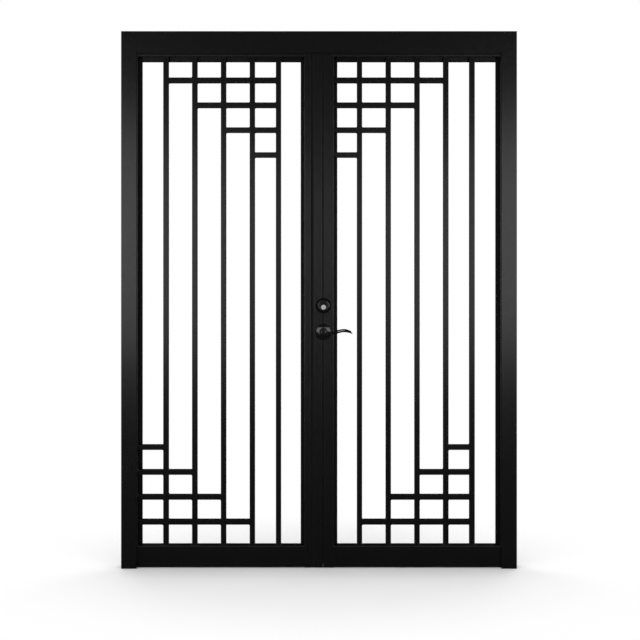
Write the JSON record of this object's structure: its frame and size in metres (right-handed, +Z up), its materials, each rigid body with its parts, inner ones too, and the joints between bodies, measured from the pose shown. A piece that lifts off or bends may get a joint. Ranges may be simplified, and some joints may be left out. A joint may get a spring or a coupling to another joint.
{
  "type": "double steel security screen door",
  "caption": "Double steel security door with stepped-bar grilles, hung in an angle-iron frame, with a keyed deadbolt and a wave-shaped lever handle.",
  "frame": {"origin": "foot of the left jamb's wall face, in the middle of the jamb's depth, at floor level", "axes": "+X right along the wall as seen from the front, +Y through the wall away from the viewer, +Z up"},
  "size_m": [1.524, 0.1421, 2.07],
  "materials": {
    "powder_coat": "satin black powder coat",
    "lock_black": "glossy black plating",
    "key_cylinder": "satin nickel",
    "edge_plate": "brushed steel",
    "seal": "matt black rubber"
  },
  "bodies": {
    "frame": {"left_jamb": "powder_coat", "right_jamb": "powder_coat", "header": "powder_coat", "left_jamb_hinges": "powder_coat", "right_jamb_hinges": "powder_coat"},
    "left_leaf": {"left_hinge_stile": "powder_coat", "left_lock_stile": "powder_coat", "left_top_rail": "powder_coat", "left_bottom_rail": "powder_coat", "left_uprights": "powder_coat", "left_top_crossbars": "powder_coat", "left_bottom_crossbars": "powder_coat", "left_hinge_side_flange": "powder_coat", "left_lock_side_flange": "powder_coat", "left_top_flange": "powder_coat", "left_leaf_hinges": "powder_coat", "left_stile_plugs": "powder_coat", "left_meeting_seal": "seal", "strike_plate": "edge_plate"},
    "right_leaf": {"right_hinge_stile": "powder_coat", "right_outer_lock_stile": "powder_coat", "right_inner_lock_stile": "powder_coat", "right_top_rail": "powder_coat", "right_bottom_rail": "powder_coat", "right_uprights": "powder_coat", "right_top_crossbars": "powder_coat", "right_bottom_crossbars": "powder_coat", "right_hinge_side_flange": "powder_coat", "right_lock_side_flange": "powder_coat", "right_top_flange": "powder_coat", "right_leaf_hinges": "powder_coat", "right_stile_plugs": "powder_coat", "right_meeting_seal": "seal", "lock_faceplate": "edge_plate", "deadbolt_bolt": "edge_plate", "latch_bolt": "edge_plate", "front_deadbolt_collar": "lock_black", "rear_deadbolt_collar": "lock_black", "front_key_cylinder": "key_cylinder", "rear_key_cylinder": "key_cylinder", "front_rosette": "lock_black", "rear_rosette": "lock_black"},
    "lever": {"front_lever": "lock_black", "rear_lever": "lock_black", "lever_spindle": "edge_plate"}
  },
  "joints": [
    {"name": "left_leaf_swing", "type": "hinge", "parent": "frame", "child": "left_leaf", "pos_m": [0.0073, 0.0336, 0], "axis": [0, 0, 1], "range_deg": [0, 110]},
    {"name": "right_leaf_swing", "type": "hinge", "parent": "frame", "child": "right_leaf", "pos_m": [1.5167, 0.0336, 0], "axis": [0, 0, -1], "range_deg": [0, 110]},
    {"name": "lever_turn", "type": "hinge", "parent": "right_leaf", "child": "lever", "pos_m": [0.77935, 0, 0.9115], "axis": [0, 1, 0], "range_deg": [0, 45], "stiffness_Nm_per_rad": 1.6, "springref_deg": -28.65}
  ]
}
